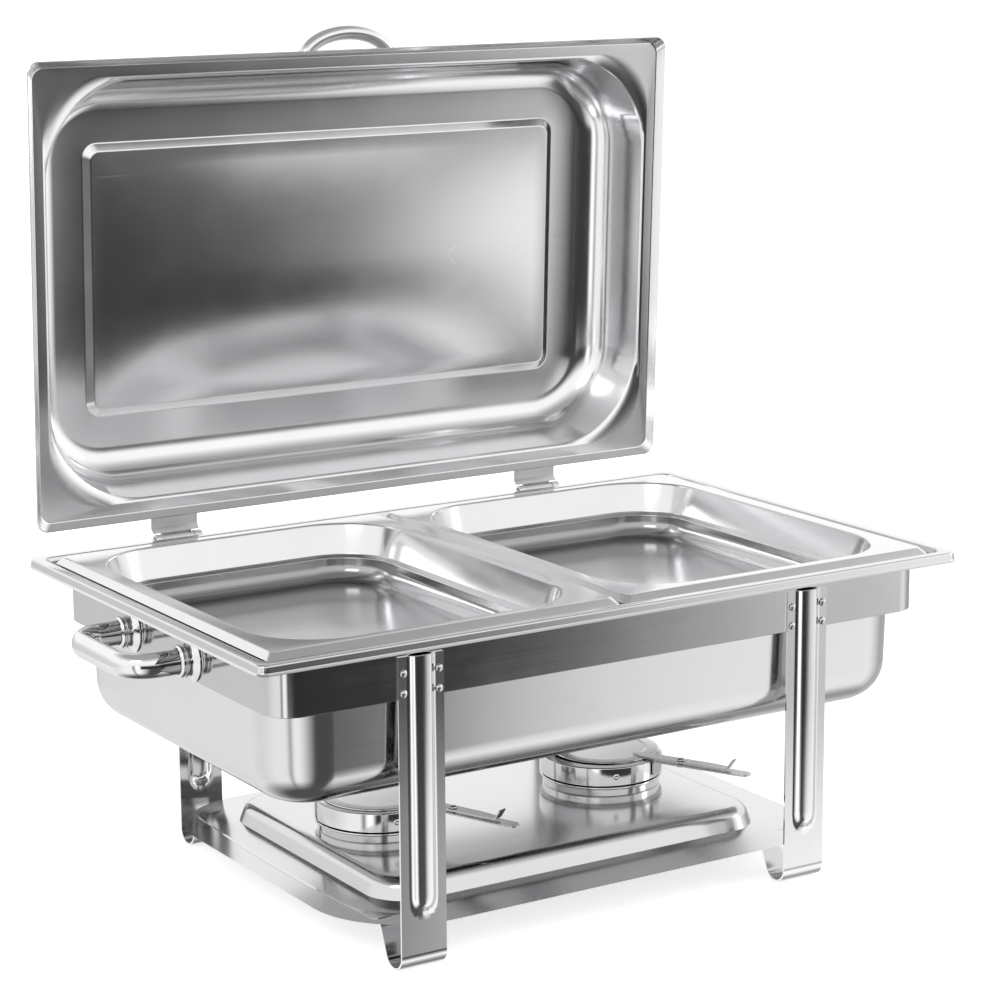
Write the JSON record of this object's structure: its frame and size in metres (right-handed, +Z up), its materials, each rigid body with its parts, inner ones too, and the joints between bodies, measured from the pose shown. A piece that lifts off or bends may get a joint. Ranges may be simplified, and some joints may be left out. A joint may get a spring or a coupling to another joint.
{
  "type": "chafing dish food warmer",
  "caption": "Stainless steel buffet food warmer: a hinged lid over food pans in a water pan, held by a skirt on riveted strip legs, with lidded fuel holders on a shelf below.",
  "frame": {"origin": "middle of the base of the object's box with the lid standing open, on the surface it stands on", "axes": "+X along the long side towards the right end, +Y towards the hinges at the back, +Z up"},
  "size_m": [0.624, 0.418, 0.5905],
  "materials": {
    "polished_steel": "polished stainless steel",
    "satin_steel": "satin stainless steel",
    "pan_steel": "drawn stainless steel",
    "hinge_steel": "bare stainless steel strip",
    "rivet_steel": "dull stainless steel rivets"
  },
  "bodies": {
    "stand": {"skirt": "polished_steel", "leg_front_left": "polished_steel", "leg_front_right": "polished_steel", "leg_back_left": "polished_steel", "leg_back_right": "polished_steel", "rivet_front_left_1": "rivet_steel", "rivet_front_left_2": "rivet_steel", "rivet_front_left_3": "rivet_steel", "rivet_front_left_4": "rivet_steel", "rivet_front_right_1": "rivet_steel", "rivet_front_right_2": "rivet_steel", "rivet_front_right_3": "rivet_steel", "rivet_front_right_4": "rivet_steel", "rivet_back_left_1": "rivet_steel", "rivet_back_left_2": "rivet_steel", "rivet_back_left_3": "rivet_steel", "rivet_back_left_4": "rivet_steel", "rivet_back_right_1": "rivet_steel", "rivet_back_right_2": "rivet_steel", "rivet_back_right_3": "rivet_steel", "rivet_back_right_4": "rivet_steel", "shelf": "satin_steel", "side_handle_left": "polished_steel", "ferrule_left_front": "polished_steel", "ferrule_left_back": "polished_steel", "side_handle_right": "polished_steel", "ferrule_right_front": "polished_steel", "ferrule_right_back": "polished_steel", "hinge_bracket_left": "hinge_steel", "hinge_pin_left": "hinge_steel", "hinge_bracket_right": "hinge_steel", "hinge_pin_right": "hinge_steel"},
    "lid": {"lid": "satin_steel", "lid_handle": "polished_steel", "lid_ferrule_left": "polished_steel", "lid_ferrule_right": "polished_steel", "hinge_leaf_left": "hinge_steel", "hinge_leaf_right": "hinge_steel"},
    "water_pan": {"water_pan": "pan_steel"},
    "food_pan_left": {"food_pan_left": "pan_steel"},
    "food_pan_right": {"food_pan_right": "pan_steel"},
    "fuel_holder_left": {"fuel_cup_left": "polished_steel", "fuel_band_left": "polished_steel", "fuel_handle_left": "polished_steel", "cover_pivot_left": "rivet_steel"},
    "fuel_cover_left": {"cover_disc_left": "satin_steel", "cover_lever_left": "polished_steel"},
    "fuel_holder_right": {"fuel_cup_right": "polished_steel", "fuel_band_right": "polished_steel", "fuel_handle_right": "polished_steel", "cover_pivot_right": "rivet_steel"},
    "fuel_cover_right": {"cover_disc_right": "satin_steel", "cover_lever_right": "polished_steel"}
  },
  "joints": [
    {"name": "lid_hinge", "type": "hinge", "parent": "stand", "child": "lid", "pos_m": [0, 0.15178, 0.2245], "axis": [-1, 0, 0], "range_deg": [-87.56, 0]},
    {"name": "water_pan_lift", "type": "slide", "parent": "stand", "child": "water_pan", "axis": [0, 0, 1], "range_m": [0, 0.05]},
    {"name": "food_pan_left_lift", "type": "slide", "parent": "water_pan", "child": "food_pan_left", "axis": [0, 0, 1], "range_m": [0, 0.08]},
    {"name": "food_pan_right_lift", "type": "slide", "parent": "water_pan", "child": "food_pan_right", "axis": [0, 0, 1], "range_m": [0, 0.08]},
    {"name": "fuel_holder_left_lift", "type": "slide", "parent": "stand", "child": "fuel_holder_left", "axis": [0, 0, 1], "range_m": [0, 0.035]},
    {"name": "fuel_cover_left_swivel", "type": "hinge", "parent": "fuel_holder_left", "child": "fuel_cover_left", "pos_m": [-0.07281, -0.09303, 0.066], "axis": [0, 0, -1], "range_deg": [0, 60]},
    {"name": "fuel_holder_right_lift", "type": "slide", "parent": "stand", "child": "fuel_holder_right", "axis": [0, 0, 1], "range_m": [0, 0.035]},
    {"name": "fuel_cover_right_swivel", "type": "hinge", "parent": "fuel_holder_right", "child": "fuel_cover_right", "pos_m": [0.12327, -0.09027, 0.066], "axis": [0, 0, -1], "range_deg": [-5, 55]}
  ]
}
